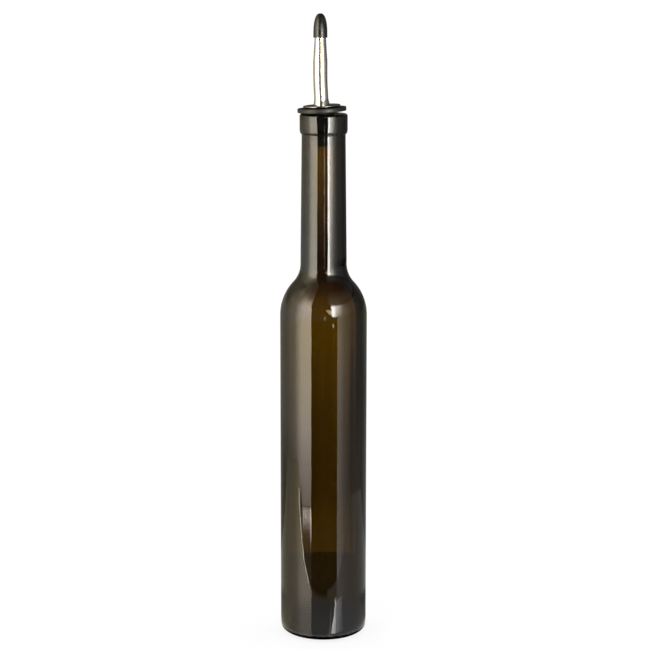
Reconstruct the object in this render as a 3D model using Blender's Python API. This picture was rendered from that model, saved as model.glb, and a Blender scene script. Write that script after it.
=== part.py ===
"""Tall slender bottle of dark glass with a push-in pourer: an oil cruet.

Metres, +Z up.  The origin is the centre of the ring the bottle stands on.
Every round piece is a turned profile; the profiles are put together below from
arcs, straight runs and a few named sizes.
"""
import math

import bmesh
import bpy
from mathutils import Euler, Matrix, Vector

for old in list(bpy.data.objects):
    bpy.data.objects.remove(old, do_unlink=True)

MM = 0.001
GAP = 0.3 * MM                      # air left between two pieces that touch

# ---------------------------------------------------------------- bottle
BOTTLE_SEGMENTS = 48
BODY_R = 26.7 * MM                  # outside radius of the body just over the heel
BODY_TOP_R = 26.58 * MM             # and under the shoulder
RING_IN_R = 19.7 * MM               # flat ring the bottle stands on
RING_OUT_R = 21.2 * MM
HEEL_HEIGHT = 4.8 * MM              # rounding from the ring up to the body wall
SHOULDER_Z = 201.5 * MM             # where the body starts to turn in
SHOULDER_R = 29.6 * MM              # radius of the convex shoulder arc
SHOULDER_TURN = math.radians(43.15)
NECK_FILLET_R = 16.5 * MM           # concave arc from the shoulder to the neck
NECK_TAPER = math.radians(0.62)     # the neck narrows a little going up
NECK_TOP_R = 13.25 * MM
COLLAR_R = 14.50 * MM               # band round the mouth
COLLAR_LOW_Z = 312.1 * MM
COLLAR_ROUND_H = 2.8 * MM           # rounded lower edge of the band
BOTTLE_H = 324.3 * MM
COLLAR_EDGE_R = 1.5 * MM

WALL = 3.0 * MM                     # glass thickness in the body
BORE_TOP_R = 9.45 * MM              # inside of the mouth
# glass thickness along the outside, from the mouth down the neck and over the shoulder
WALL_RUN = ((0.0, 3.67), (24.0, 3.2), (37.0, 3.3), (54.0, 3.65), (69.0, 4.15), (80.0, 4.5),
            (90.0, 4.7), (97.0, 4.45), (103.0, 3.9), (111.0, 3.3), (119.0, 3.05), (125.5, 3.0))
BORE_EDGE = 0.6 * MM
PUNT_H = 10.5 * MM                  # push-up under the base
FLOOR_T = 6.0 * MM                  # glass over the push-up
GUTTER_R = 17.0 * MM                # lowest inside ring, round the push-up
GUTTER_Z = 6.6 * MM

# ---------------------------------------------------------------- pourer
LEAN = math.radians(3.1)            # the pourer sits a little crooked
SEAT = Vector((-1.0 * MM, 0.0, 325.45 * MM))   # centre of the flange's underside
FLANGE_R = 14.75 * MM
FLANGE_T = 2.4 * MM
BOSS_R = 9.6 * MM                   # low step on the flange that the plate sits on
BOSS_T = 0.3 * MM
FLANGE_EDGE_R = 0.4 * MM
PLUG_LEN = 20.4 * MM
PLUG_CORE_R = 7.7 * MM
PLUG_RIBS = 4
PLUG_RIB_FIRST_R = 8.2 * MM         # ribs widen downwards to follow the lean
PLUG_RIB_LAST_R = 8.8 * MM
STOPPER_SEGMENTS = 32

DISC_R = 11.25 * MM                 # metal plate on top of the flange
DISC_T = 0.9 * MM

TUBE_SEGMENTS = 24
TUBE_R = 4.22 * MM
TUBE_TIP_R = 2.75 * MM
TUBE_STEM_R = 3.9 * MM              # narrower part inside disc and stopper
TUBE_BORE_R = 2.6 * MM
TUBE_BORE_TIP_R = 1.9 * MM
FOOT_R = 4.95 * MM                  # flared foot on the plate
FOOT_H = 4.6 * MM
TAPER_FROM_Z = 355.5 * MM
TIP_Z = 380.6 * MM
BEND_Z = 344.0 * MM                 # above this height the spout stands upright
BEND_LEN = 9.0 * MM

CAP_SEGMENTS = 24
CAP_R = 4.2 * MM
CAP_RIM_Z = 369.4 * MM
CAP_TOP_Z = 383.7 * MM
CAP_STRAIGHT = 1.6 * MM
CAP_POWER = 2.5                     # roundness of the bullet nose


# ---------------------------------------------------------------- helpers
def material(name, colour, roughness, metallic=0.0, transmission=0.0):
    mat = bpy.data.materials.new(name)
    mat.use_nodes = True
    shader = mat.node_tree.nodes["Principled BSDF"]
    shader.inputs["Base Color"].default_value = (*colour, 1.0)
    shader.inputs["Roughness"].default_value = roughness
    shader.inputs["Metallic"].default_value = metallic
    shader.inputs["Transmission Weight"].default_value = transmission
    return mat


def arc(centre, radius, start, end, steps):
    """Points on an arc in the (radius, height) plane, angles in radians."""
    return [
        (
            centre[0] + radius * math.cos(start + (end - start) * i / steps),
            centre[1] + radius * math.sin(start + (end - start) * i / steps),
        )
        for i in range(steps + 1)
    ]


def quarter(corner_in, corner_out, steps, power=1.0):
    """Quarter of an ellipse that leaves corner_in level and reaches corner_out upright."""
    (r0, z0), (r1, z1) = corner_in, corner_out
    return [
        (
            r0 + (r1 - r0) * math.sin(0.5 * math.pi * i / steps),
            z1 + (z0 - z1) * math.cos(0.5 * math.pi * i / steps),
        )
        for i in range(steps + 1)
    ]


def turned(name, profile, segments, mat, closed=False, sharp=32.0):
    """Spin a profile of (radius, height) points once round the Z axis."""
    bm = bmesh.new()
    verts = [bm.verts.new((r, 0.0, z)) for r, z in profile]
    pairs = list(zip(verts, verts[1:]))
    if closed:
        pairs.append((verts[-1], verts[0]))
    edges = [bm.edges.new(pair) for pair in pairs]
    bmesh.ops.spin(
        bm,
        geom=verts + edges,
        cent=(0.0, 0.0, 0.0),
        axis=(0.0, 0.0, 1.0),
        dvec=(0.0, 0.0, 0.0),
        angle=2.0 * math.pi,
        steps=segments,
        use_merge=True,
        use_duplicate=False,
    )
    bmesh.ops.remove_doubles(bm, verts=bm.verts[:], dist=1e-6)
    bmesh.ops.recalc_face_normals(bm, faces=bm.faces[:])
    return finish(name, bm, mat, sharp)


def finish(name, bm, mat, sharp=32.0):
    mesh = bpy.data.meshes.new(name)
    bm.to_mesh(mesh)
    bm.free()
    mesh.materials.append(mat)
    mesh.shade_smooth()
    mesh.set_sharp_from_angle(angle=math.radians(sharp))
    ob = bpy.data.objects.new(name, mesh)
    bpy.context.scene.collection.objects.link(ob)
    return ob


# ---------------------------------------------------------------- materials
GLASS = material("dark_green_glass", (0.045, 0.032, 0.006), 0.03, transmission=1.0)
RUBBER = material("black_rubber", (0.014, 0.014, 0.013), 0.42)
STEEL = material("polished_steel", (0.72, 0.71, 0.68), 0.13, metallic=1.0)
CAP_BLACK = material("black_plastic", (0.018, 0.018, 0.017), 0.36)


# ---------------------------------------------------------------- bottle
def wall_at(run):
    """Smooth glass thickness at a distance along the outside from the mouth."""
    knots = WALL_RUN
    x = run / MM

    def slope(k):
        a, b = knots[max(k - 1, 0)], knots[min(k + 1, len(knots) - 1)]
        return (b[1] - a[1]) / (b[0] - a[0])

    k = 0
    while k < len(knots) - 2 and x > knots[k + 1][0]:
        k += 1
    (x0, t0), (x1, t1) = knots[k], knots[k + 1]
    h = x1 - x0
    u = min(max((x - x0) / h, 0.0), 1.0)
    return MM * (
        t0 * (1 + 2 * u) * (1 - u) ** 2 + t1 * u * u * (3 - 2 * u)
        + h * slope(k) * u * (1 - u) ** 2 + h * slope(k + 1) * u * u * (u - 1)
    )


def inside_run(fillet, neck_steps, fillet_steps, shoulder_steps):
    """Inner face from the mouth to the body: the outer face moved in by the wall."""
    points = []
    start = BOTTLE_H - BORE_EDGE
    low = fillet[1] - NECK_FILLET_R * math.sin(NECK_TAPER)
    for i in range(1, neck_steps):
        z = start + (low - start) * i / neck_steps
        points.append((NECK_TOP_R + (COLLAR_LOW_Z - z) * math.tan(NECK_TAPER)
                       - wall_at(start - z), z))
    run = start - low
    for i in range(fillet_steps):
        turn = NECK_TAPER + (SHOULDER_TURN - NECK_TAPER) * i / fillet_steps
        reach = NECK_FILLET_R + wall_at(run + NECK_FILLET_R * (turn - NECK_TAPER))
        points.append((fillet[0] - reach * math.cos(turn), fillet[1] - reach * math.sin(turn)))
    run += NECK_FILLET_R * (SHOULDER_TURN - NECK_TAPER)
    for i in range(shoulder_steps + 1):
        turn = SHOULDER_TURN * (1.0 - i / shoulder_steps)
        reach = SHOULDER_R - wall_at(run + SHOULDER_R * (SHOULDER_TURN - turn))
        points.append((BODY_TOP_R - SHOULDER_R + reach * math.cos(turn),
                       SHOULDER_Z + reach * math.sin(turn)))
    return points


def bottle_profile():
    def punt(r, top, low, reach):
        t = min(r / reach, 1.0)
        return low + (top - low) * (0.5 + 0.5 * math.cos(math.pi * t)) ** 0.85

    points = []
    # underside: the push-up, then the flat ring and the heel
    for i in range(6):
        r = RING_IN_R * i / 6
        points.append((r, punt(r, PUNT_H, 0.0, RING_IN_R)))
    points.append((RING_IN_R, 0.0))
    points += quarter((RING_OUT_R, 0.0), (BODY_R, HEEL_HEIGHT), 5)
    # body wall and shoulder
    points += arc((BODY_TOP_R - SHOULDER_R, SHOULDER_Z), SHOULDER_R, 0.0, SHOULDER_TURN, 6)
    r_turn, z_turn = points[-1]
    fillet = (
        r_turn + NECK_FILLET_R * math.cos(SHOULDER_TURN),
        z_turn + NECK_FILLET_R * math.sin(SHOULDER_TURN),
    )
    points += arc(fillet, NECK_FILLET_R, math.pi + SHOULDER_TURN, math.pi + NECK_TAPER, 5)[1:]
    # band round the mouth, from its rounded lower edge over its rounded top edge
    points += quarter(
        (NECK_TOP_R, COLLAR_LOW_Z), (COLLAR_R, COLLAR_LOW_Z + COLLAR_ROUND_H), 4
    )
    points += arc(
        (COLLAR_R - COLLAR_EDGE_R, BOTTLE_H - COLLAR_EDGE_R),
        COLLAR_EDGE_R, 0.0, 0.5 * math.pi, 3,
    )
    # mouth and bore
    points.append((BORE_TOP_R + BORE_EDGE, BOTTLE_H))
    points.append((BORE_TOP_R, BOTTLE_H - BORE_EDGE))
    # inside of neck, shoulder and body
    points += inside_run(fillet, 4, 3, 6)
    heel_in = quarter((GUTTER_R, GUTTER_Z), (BODY_R - WALL, 2.25 * GUTTER_Z), 4)
    points += heel_in[::-1]
    for i in range(5, -1, -1):
        r = GUTTER_R * i / 6
        points.append((r, punt(r, PUNT_H + FLOOR_T, GUTTER_Z, GUTTER_R)))
    return points


bottle = turned("bottle", bottle_profile(), BOTTLE_SEGMENTS, GLASS)


# ---------------------------------------------------------------- pourer
# The pourer's own axis stands on the seat and leans by LEAN.
pourer = bpy.data.objects.new("pourer_axis", None)
bpy.context.scene.collection.objects.link(pourer)
pourer.location = SEAT
pourer.rotation_euler = Euler((0.0, -LEAN, 0.0))


def stopper_profile():
    """Flange and ribbed plug, with a bore for the spout's stem."""
    hole = TUBE_STEM_R + GAP
    e = FLANGE_EDGE_R
    points = [(hole, -PLUG_LEN), (PLUG_CORE_R - 1.0 * MM, -PLUG_LEN),
              (PLUG_CORE_R, -PLUG_LEN + 1.2 * MM)]
    pitch = (PLUG_LEN - 3.0 * MM) / PLUG_RIBS
    for i in range(PLUG_RIBS):
        z = -PLUG_LEN + 2.2 * MM + pitch * i
        f = i / (PLUG_RIBS - 1)
        r = PLUG_RIB_LAST_R + (PLUG_RIB_FIRST_R - PLUG_RIB_LAST_R) * f
        points += [(PLUG_CORE_R, z), (r, z + 1.0 * MM), (r, z + 1.5 * MM),
                   (PLUG_CORE_R, z + 2.1 * MM)]
    points.append((PLUG_CORE_R, 0.0))
    points += arc((FLANGE_R - e, e), e, -0.5 * math.pi, 0.0, 3)
    points += arc((FLANGE_R - e, FLANGE_T - e), e, 0.0, 0.5 * math.pi, 3)
    points.append((BOSS_R, FLANGE_T))
    points.append((BOSS_R, FLANGE_T + BOSS_T))
    points.append((hole, FLANGE_T + BOSS_T))
    return points


stopper = turned("stopper", stopper_profile(), STOPPER_SEGMENTS, RUBBER, closed=True)

plate_low = FLANGE_T + BOSS_T + GAP
plate_top = plate_low + DISC_T


def plate_profile():
    """Thin metal plate with a rounded rim and a slightly dished top."""
    hole = TUBE_STEM_R + GAP
    e = 0.5 * DISC_T
    points = [(hole, plate_low)]
    points += arc((DISC_R - e, plate_low + e), e, -0.5 * math.pi, 0.5 * math.pi, 5)
    points.append((DISC_R - 1.9 * MM, plate_top - 0.12 * MM))
    points.append((hole, plate_top - 0.12 * MM))
    return points


plate = turned("spout_plate", plate_profile(), STOPPER_SEGMENTS, STEEL, closed=True)

for child in (stopper, plate):
    child.parent = pourer


# Spout: a tube swept along its own centre line, which follows the pourer's
# leaning axis and then turns upright.
def spout_centre(z):
    """Centre line at height z: leaning below the bend, upright above, blended between."""
    slope = math.tan(LEAN)
    a, b = BEND_Z - 0.5 * BEND_LEN, BEND_Z + 0.5 * BEND_LEN
    if z <= a:
        run = z - SEAT.z
    elif z >= b:
        run = a - SEAT.z + 0.5 * BEND_LEN
    else:
        run = a - SEAT.z + (z - a) - (z - a) ** 2 / (2.0 * BEND_LEN)
    return Vector((SEAT.x - slope * run, SEAT.y, z))


def spout_radius(z, foot_z):
    """Outside radius: stem, flared foot, straight tube, tapering tip."""
    if z < foot_z:
        return TUBE_STEM_R
    if z < foot_z + FOOT_H:
        t = (z - foot_z) / FOOT_H
        return TUBE_R + (FOOT_R - TUBE_R) * (1.0 - t) ** 2
    if z < TAPER_FROM_Z:
        return TUBE_R
    t = (z - TAPER_FROM_Z) / (TIP_Z - TAPER_FROM_Z)
    return TUBE_R + (TUBE_TIP_R - TUBE_R) * t ** 0.9


def ring(bm, centre, tilt, radius):
    turn = Matrix.Rotation(tilt, 3, "Y")
    return [
        bm.verts.new(centre + turn @ Vector((
            radius * math.cos(2.0 * math.pi * i / TUBE_SEGMENTS),
            radius * math.sin(2.0 * math.pi * i / TUBE_SEGMENTS),
            0.0,
        )))
        for i in range(TUBE_SEGMENTS)
    ]


def bridge(bm, low, high):
    n = len(low)
    for i in range(n):
        bm.faces.new((low[i], low[(i + 1) % n], high[(i + 1) % n], high[i]))


def spout():
    bm = bmesh.new()
    low_z = SEAT.z - PLUG_LEN * math.cos(LEAN)
    foot_z = SEAT.z + (plate_top + GAP) * math.cos(LEAN)
    a, b = BEND_Z - 0.5 * BEND_LEN, BEND_Z + 0.5 * BEND_LEN
    heights = [foot_z + FOOT_H * k for k in (0.0, 0.25, 0.55, 1.0)]
    heights += [a + (b - a) * k / 4 for k in range(5)]
    heights += [TAPER_FROM_Z + (TIP_Z - TAPER_FROM_Z) * k / 3 for k in range(4)]
    # the stem ends level with the foot's underside, which is a flat ring
    stations = [(low_z, TUBE_STEM_R), (foot_z, TUBE_STEM_R)]
    stations += [(z, spout_radius(z, foot_z)) for z in heights]

    def tilt(z):
        if z <= a:
            return -LEAN
        if z >= b:
            return 0.0
        return -LEAN * (b - z) / (b - a)

    def bore(z):
        t = max(0.0, (z - BEND_Z) / (TIP_Z - BEND_Z))
        return TUBE_BORE_R + (TUBE_BORE_TIP_R - TUBE_BORE_R) * t

    outer = [ring(bm, spout_centre(z), tilt(z), r) for z, r in stations]
    inner_z = [low_z] + [a + (b - a) * k / 2 for k in range(3)] + [TIP_Z]
    inner = [ring(bm, spout_centre(z), tilt(z), bore(z)) for z in inner_z]
    for low, high in zip(outer, outer[1:]):
        bridge(bm, low, high)
    for low, high in zip(inner, inner[1:]):
        bridge(bm, high, low)
    bridge(bm, inner[0], outer[0])
    bridge(bm, outer[-1], inner[-1])
    bmesh.ops.recalc_face_normals(bm, faces=bm.faces[:])
    return finish("spout", bm, STEEL)


spout()


def cap_profile():
    """Bullet-shaped sleeve: outside first, then the blind hole the tip sits in."""
    length = CAP_TOP_Z - CAP_RIM_Z
    nose = length - CAP_STRAIGHT
    points = [(CAP_R - 0.35 * MM, 0.0), (CAP_R, 0.35 * MM)]
    for i in range(9):
        t = math.sin(0.5 * math.pi * i / 8)
        r = CAP_R * max(0.0, 1.0 - t ** CAP_POWER) ** (1.0 / CAP_POWER)
        points.append((r, CAP_STRAIGHT + nose * t))
    top = TIP_Z + 0.4 * MM - CAP_RIM_Z
    points.append((0.0, top))
    for k in range(4, -1, -1):
        z = top * k / 4
        points.append((spout_radius(CAP_RIM_Z + z, SEAT.z) + GAP, z))
    return points


# The sleeve's blind hole follows the spout's taper, so its profile ends on the rim.
cap = turned("tip_cap", cap_profile(), CAP_SEGMENTS, CAP_BLACK, closed=True)
cap.location = (spout_centre(CAP_RIM_Z).x, spout_centre(CAP_RIM_Z).y, CAP_RIM_Z)

bpy.context.view_layer.update()
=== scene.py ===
"""Looks of the oil cruet: dark olive glass bottle, black stopper, steel spout, soft black tip cap.

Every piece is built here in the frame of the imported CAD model, in metres, and
stands for the CAD node of the same part.  Round pieces are turned profiles.
"""
import math

import bmesh
import bpy
from mathutils import Matrix, Vector, noise


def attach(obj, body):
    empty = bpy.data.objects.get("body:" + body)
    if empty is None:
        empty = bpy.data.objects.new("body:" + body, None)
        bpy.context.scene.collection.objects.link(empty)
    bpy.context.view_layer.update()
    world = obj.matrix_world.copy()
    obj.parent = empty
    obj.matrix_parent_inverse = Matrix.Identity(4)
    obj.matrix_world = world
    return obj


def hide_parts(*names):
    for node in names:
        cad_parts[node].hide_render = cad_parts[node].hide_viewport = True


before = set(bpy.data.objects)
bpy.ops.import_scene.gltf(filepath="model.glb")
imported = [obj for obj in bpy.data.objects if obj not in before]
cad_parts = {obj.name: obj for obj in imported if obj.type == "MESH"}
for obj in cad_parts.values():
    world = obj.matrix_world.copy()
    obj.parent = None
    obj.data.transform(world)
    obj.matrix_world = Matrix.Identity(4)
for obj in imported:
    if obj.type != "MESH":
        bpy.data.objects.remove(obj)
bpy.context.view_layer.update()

MM = 0.001
scene = bpy.context.scene

# ------------------------------------------------------------------ sizes
# the bottle
BODY_R = 26.7 * MM
BODY_TOP_R = 26.58 * MM
RING_IN_R = 19.7 * MM
RING_OUT_R = 21.2 * MM
HEEL_HEIGHT = 4.8 * MM
SHOULDER_Z = 201.5 * MM
SHOULDER_R = 29.6 * MM
SHOULDER_TURN = math.radians(43.15)
NECK_FILLET_R = 16.5 * MM
NECK_TAPER = math.radians(0.62)
NECK_TOP_R = 13.25 * MM
COLLAR_R = 14.50 * MM
COLLAR_LOW_Z = 312.1 * MM
COLLAR_ROUND_H = 2.8 * MM
BOTTLE_H = 324.3 * MM
COLLAR_EDGE_R = 1.5 * MM
WALL = 3.0 * MM
BORE_TOP_R = 9.45 * MM
# glass thickness along the outside, from the mouth down the neck and over the shoulder
WALL_RUN = ((0.0, 3.67), (24.0, 3.2), (37.0, 3.3), (54.0, 3.65), (69.0, 4.15), (80.0, 4.5),
            (90.0, 4.7), (97.0, 4.45), (103.0, 3.9), (111.0, 3.3), (119.0, 3.05), (125.5, 3.0))
BORE_EDGE = 0.6 * MM
PUNT_H = 10.5 * MM
FLOOR_T = 6.0 * MM
GUTTER_R = 17.0 * MM
GUTTER_Z = 6.6 * MM

# the pourer
LEAN = math.radians(3.1)
SEAT = Vector((-1.0 * MM, 0.0, 325.45 * MM))
FLANGE_R = 14.75 * MM
FLANGE_T = 2.4 * MM
FLANGE_EDGE_R = 0.4 * MM
BOSS_R = 9.6 * MM
BOSS_T = 0.3 * MM
PLUG_LEN = 20.4 * MM
PLUG_CORE_R = 7.7 * MM
PLUG_RIBS = 4
PLUG_RIB_FIRST_R = 8.2 * MM
PLUG_RIB_LAST_R = 8.8 * MM
GAP = 0.3 * MM
DISC_R = 11.25 * MM
DISC_T = 0.9 * MM
TUBE_R = 4.22 * MM
TUBE_TIP_R = 2.75 * MM
TUBE_STEM_R = 3.9 * MM
TUBE_BORE_R = 2.6 * MM
TUBE_BORE_TIP_R = 1.9 * MM
FOOT_R = 4.95 * MM
FOOT_H = 4.6 * MM
TAPER_FROM_Z = 355.5 * MM
TIP_Z = 380.6 * MM
BEND_Z = 344.0 * MM
BEND_LEN = 9.0 * MM
CAP_R = 4.2 * MM
CAP_RIM_Z = 369.4 * MM
CAP_TOP_Z = 383.7 * MM
CAP_STRAIGHT = 1.6 * MM
CAP_POWER = 2.5
CAP_WALL = 0.85 * MM


# ------------------------------------------------------------------ mesh helpers
def arc(centre, radius, start, end, steps):
    return [
        (
            centre[0] + radius * math.cos(start + (end - start) * i / steps),
            centre[1] + radius * math.sin(start + (end - start) * i / steps),
        )
        for i in range(steps + 1)
    ]


def quarter(corner_in, corner_out, steps):
    (r0, z0), (r1, z1) = corner_in, corner_out
    return [
        (
            r0 + (r1 - r0) * math.sin(0.5 * math.pi * i / steps),
            z1 + (z0 - z1) * math.cos(0.5 * math.pi * i / steps),
        )
        for i in range(steps + 1)
    ]


def straight(a, b, steps):
    """Points from a to b, without a itself."""
    return [
        (a[0] + (b[0] - a[0]) * i / steps, a[1] + (b[1] - a[1]) * i / steps)
        for i in range(1, steps + 1)
    ]


def wall_at(run):
    """Smooth glass thickness at a distance along the outside from the mouth."""
    knots = WALL_RUN
    x = run / MM

    def slope(k):
        a, b = knots[max(k - 1, 0)], knots[min(k + 1, len(knots) - 1)]
        return (b[1] - a[1]) / (b[0] - a[0])

    k = 0
    while k < len(knots) - 2 and x > knots[k + 1][0]:
        k += 1
    (x0, t0), (x1, t1) = knots[k], knots[k + 1]
    h = x1 - x0
    u = min(max((x - x0) / h, 0.0), 1.0)
    return MM * (
        t0 * (1 + 2 * u) * (1 - u) ** 2 + t1 * u * u * (3 - 2 * u)
        + h * slope(k) * u * (1 - u) ** 2 + h * slope(k + 1) * u * u * (u - 1)
    )


def inside_run(fillet, neck_steps, fillet_steps, shoulder_steps):
    """Inner face from the mouth to the body: the outer face moved in by the wall."""
    points = []
    start = BOTTLE_H - BORE_EDGE
    low = fillet[1] - NECK_FILLET_R * math.sin(NECK_TAPER)
    for i in range(1, neck_steps):
        z = start + (low - start) * i / neck_steps
        points.append((NECK_TOP_R + (COLLAR_LOW_Z - z) * math.tan(NECK_TAPER)
                       - wall_at(start - z), z))
    run = start - low
    for i in range(fillet_steps):
        turn = NECK_TAPER + (SHOULDER_TURN - NECK_TAPER) * i / fillet_steps
        reach = NECK_FILLET_R + wall_at(run + NECK_FILLET_R * (turn - NECK_TAPER))
        points.append((fillet[0] - reach * math.cos(turn), fillet[1] - reach * math.sin(turn)))
    run += NECK_FILLET_R * (SHOULDER_TURN - NECK_TAPER)
    for i in range(shoulder_steps + 1):
        turn = SHOULDER_TURN * (1.0 - i / shoulder_steps)
        reach = SHOULDER_R - wall_at(run + SHOULDER_R * (SHOULDER_TURN - turn))
        points.append((BODY_TOP_R - SHOULDER_R + reach * math.cos(turn),
                       SHOULDER_Z + reach * math.sin(turn)))
    return points


def turned(name, profile, segments, shape=None, closed=False):
    """Closed surface from a profile of (radius, height) points turned round Z.

    shape(i, angle, r, z) may return a slightly different (r, z) for one point.
    Points on the axis become single vertices.
    """
    bm = bmesh.new()
    rings = []
    for i, (r, z) in enumerate(profile):
        if r < 1e-7:
            rings.append([bm.verts.new((0.0, 0.0, z))])
            continue
        ring = []
        for k in range(segments):
            a = 2.0 * math.pi * k / segments
            rr, zz = shape(i, a, r, z) if shape else (r, z)
            ring.append(bm.verts.new((rr * math.cos(a), rr * math.sin(a), zz)))
        rings.append(ring)
    pairs = list(zip(rings, rings[1:]))
    if closed:
        pairs.append((rings[-1], rings[0]))
    for low, high in pairs:
        for k in range(segments):
            n = (k + 1) % segments
            corners = []
            for v in (
                low[k % len(low)], low[n % len(low)], high[n % len(high)], high[k % len(high)]
            ):
                if v not in corners:
                    corners.append(v)
            if len(corners) > 2:
                bm.faces.new(corners)
    bmesh.ops.recalc_face_normals(bm, faces=bm.faces[:])
    return as_object(name, bm)


def as_object(name, bm, sharp=None):
    mesh = bpy.data.meshes.new(name)
    bm.to_mesh(mesh)
    bm.free()
    mesh.shade_smooth()
    if sharp is not None:
        mesh.set_sharp_from_angle(angle=math.radians(sharp))
    ob = bpy.data.objects.new(name, mesh)
    scene.collection.objects.link(ob)
    return ob


def smooth_step(x, a, b):
    t = min(max((x - a) / (b - a), 0.0), 1.0)
    return t * t * (3.0 - 2.0 * t)


# ------------------------------------------------------------------ node helpers
class Nodes:
    """A material or world node tree that is put together in a few calls."""

    def __init__(self, owner):
        owner.use_nodes = True
        self.tree = owner.node_tree
        self.tree.nodes.clear()

    def add(self, kind, values=None, links=None, **settings):
        node = self.tree.nodes.new(kind)
        for key, value in settings.items():
            setattr(node, key, value)
        for key, value in (values or {}).items():
            node.inputs[key].default_value = value
        for key, source in (links or {}).items():
            self.tree.links.new(source, node.inputs[key])
        return node

    def link(self, source, target):
        self.tree.links.new(source, target)

    def ramp(self, fac, stops, interpolation="LINEAR"):
        node = self.add("ShaderNodeValToRGB", links={"Fac": fac})
        ramp = node.color_ramp
        ramp.interpolation = interpolation
        while len(ramp.elements) > len(stops):
            ramp.elements.remove(ramp.elements[-1])
        while len(ramp.elements) < len(stops):
            ramp.elements.new(1.0)
        for element, (place, colour) in zip(ramp.elements, stops):
            element.position = place
            element.color = (*colour, 1.0) if not isinstance(colour, float) else (
                colour, colour, colour, 1.0)
        return node

    def maths(self, operation, a, b=None, c=None, clamp=False):
        node = self.add("ShaderNodeMath", operation=operation, use_clamp=clamp)
        for i, v in enumerate((a, b, c)):
            if v is None:
                continue
            if isinstance(v, (int, float)):
                node.inputs[i].default_value = v
            else:
                self.link(v, node.inputs[i])
        return node.outputs[0]


def new_material(name):
    mat = bpy.data.materials.new(name)
    return mat, Nodes(mat)


# ------------------------------------------------------------------ materials
def glass_material():
    """Dark olive-brown bottle glass: its colour comes from absorption in the wall."""
    mat, n = new_material("bottle_glass")
    where = n.add("ShaderNodeTexCoord").outputs["Object"]
    # slow waviness left by the mould and the blowing, and faint settle waves
    stretch = n.add("ShaderNodeMapping", {"Scale": (1.0, 1.0, 0.35)}, {"Vector": where})
    slow = n.add("ShaderNodeTexNoise", {"Scale": 42.0, "Detail": 1.5, "Roughness": 0.45},
                 {"Vector": stretch.outputs[0]})
    fine = n.add("ShaderNodeTexNoise", {"Scale": 210.0, "Detail": 1.0, "Roughness": 0.4},
                 {"Vector": stretch.outputs[0]})
    height = n.maths("MULTIPLY_ADD", fine.outputs["Fac"], 0.03, slow.outputs["Fac"])
    # the narrow neck comes out smoother than the body
    calm = n.add("ShaderNodeMapRange",
                 {"From Min": 0.200, "From Max": 0.235, "To Min": 1.0, "To Max": 0.22},
                 {"Value": n.add("ShaderNodeSeparateXYZ", links={"Vector": where}).outputs["Z"]})
    height = n.maths("MULTIPLY", height, calm.outputs["Result"])
    bump = n.add("ShaderNodeBump", {"Strength": 0.10, "Distance": 0.0007}, {"Height": height})
    # a trace of haze from handling, so the surface isn't perfectly clean
    haze_and_painted_glow = n.add("ShaderNodeTexNoise", {"Scale": 60.0, "Detail": 4.0, "Roughness": 0.6},
                 {"Vector": where})
    rough = n.add("ShaderNodeMapRange",
                  {"From Min": 0.45, "From Max": 0.8, "To Min": 0.0, "To Max": 0.018},
                  {"Value": haze_and_painted_glow.outputs["Fac"]})
    shader = n.add(
        "ShaderNodeBsdfPrincipled",
        {"Base Color": (1.0, 1.0, 1.0, 1.0), "IOR": 1.52, "Transmission Weight": 1.0},
        {"Roughness": rough.outputs["Result"], "Normal": bump.outputs["Normal"]},
    )
    volume = n.add("ShaderNodeVolumeAbsorption",
                   {"Color": (0.50, 0.395, 0.0, 1.0), "Density": 1151.0})
    out = n.add("ShaderNodeOutputMaterial")
    n.link(shader.outputs[0], out.inputs["Surface"])
    n.link(volume.outputs[0], out.inputs["Volume"])
    return mat


def rubber_material():
    """Satin black stopper rubber with a fine moulded skin and a little dust."""
    mat, n = new_material("stopper_rubber")
    where = n.add("ShaderNodeTexCoord").outputs["Object"]
    grain = n.add("ShaderNodeTexNoise", {"Scale": 2600.0, "Detail": 3.0, "Roughness": 0.6},
                  {"Vector": where})
    cloud = n.add("ShaderNodeTexNoise", {"Scale": 160.0, "Detail": 4.0, "Roughness": 0.65},
                  {"Vector": where})
    colour = n.ramp(cloud.outputs["Fac"],
                    [(0.35, (0.012, 0.012, 0.011)), (0.62, (0.020, 0.019, 0.018)),
                     (0.8, (0.034, 0.033, 0.030))])
    rough = n.add("ShaderNodeMapRange",
                  {"From Min": 0.3, "From Max": 0.7, "To Min": 0.34, "To Max": 0.46},
                  {"Value": cloud.outputs["Fac"]})
    bump = n.add("ShaderNodeBump", {"Strength": 0.10, "Distance": 0.00005},
                 {"Height": grain.outputs["Fac"]})
    shader = n.add("ShaderNodeBsdfPrincipled", {"IOR": 1.52, "Specular IOR Level": 0.3},
                   {"Base Color": colour.outputs["Color"],
                    "Roughness": rough.outputs["Result"], "Normal": bump.outputs["Normal"]})
    out = n.add("ShaderNodeOutputMaterial")
    n.link(shader.outputs[0], out.inputs["Surface"])
    return mat


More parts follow.
